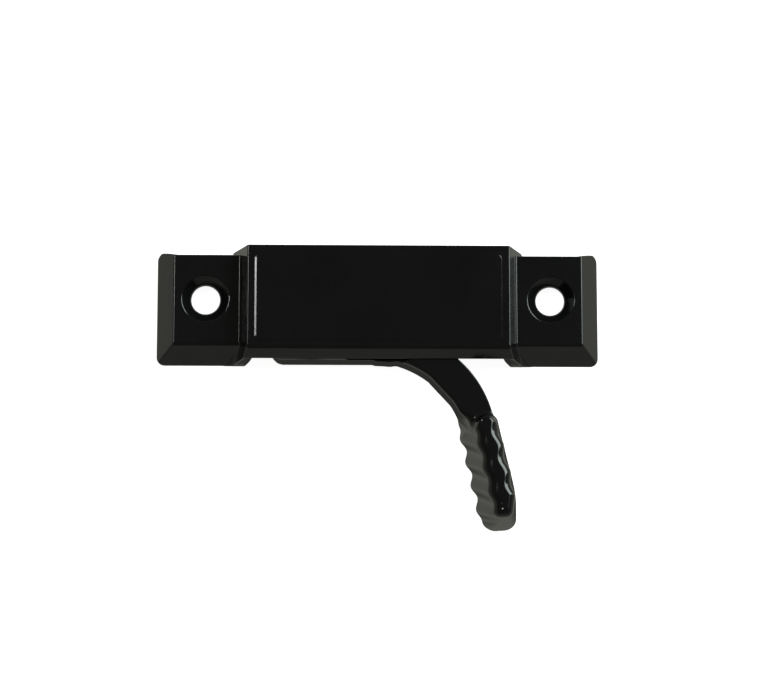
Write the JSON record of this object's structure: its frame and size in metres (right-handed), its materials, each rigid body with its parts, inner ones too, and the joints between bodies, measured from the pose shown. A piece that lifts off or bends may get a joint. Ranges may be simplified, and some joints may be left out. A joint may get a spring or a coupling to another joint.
{
  "type": "window sash lever lock",
  "caption": "Surface-mounted window sash lock: a low housing with two screw holes and a finger-grip lever that swings a flat cam out under the housing to a keeper.",
  "frame": {"origin": "midpoint between the two mounting screw holes, on the mounting plane; the lever turns about this point", "axes": "+X along the housing, +Y towards the keeper side, +Z out of the window, away from the mounting plane"},
  "size_m": [0.0776, 0.0491, 0.0084],
  "materials": {
    "gloss_black_paint": "gloss black paint on a zinc die casting",
    "acetal": "natural moulded plastic",
    "spring_steel": "rolled stainless strip",
    "zinc_plated_steel": "bright zinc plate"
  },
  "bodies": {
    "base": {"housing": "gloss_black_paint", "wave_washer": "spring_steel", "retaining_washer": "zinc_plated_steel", "retaining_screw": "zinc_plated_steel", "detent_spring": "spring_steel", "spring_rivets": "zinc_plated_steel"},
    "lever": {"lever": "gloss_black_paint", "pivot_bush": "acetal"}
  },
  "joints": [
    {"name": "lever_swing", "type": "hinge", "parent": "base", "child": "lever", "pos_m": [0, 0, 0.003], "axis": [0, 0, 1], "range_deg": [-96, 0], "deforming": ["detent_spring"]}
  ]
}
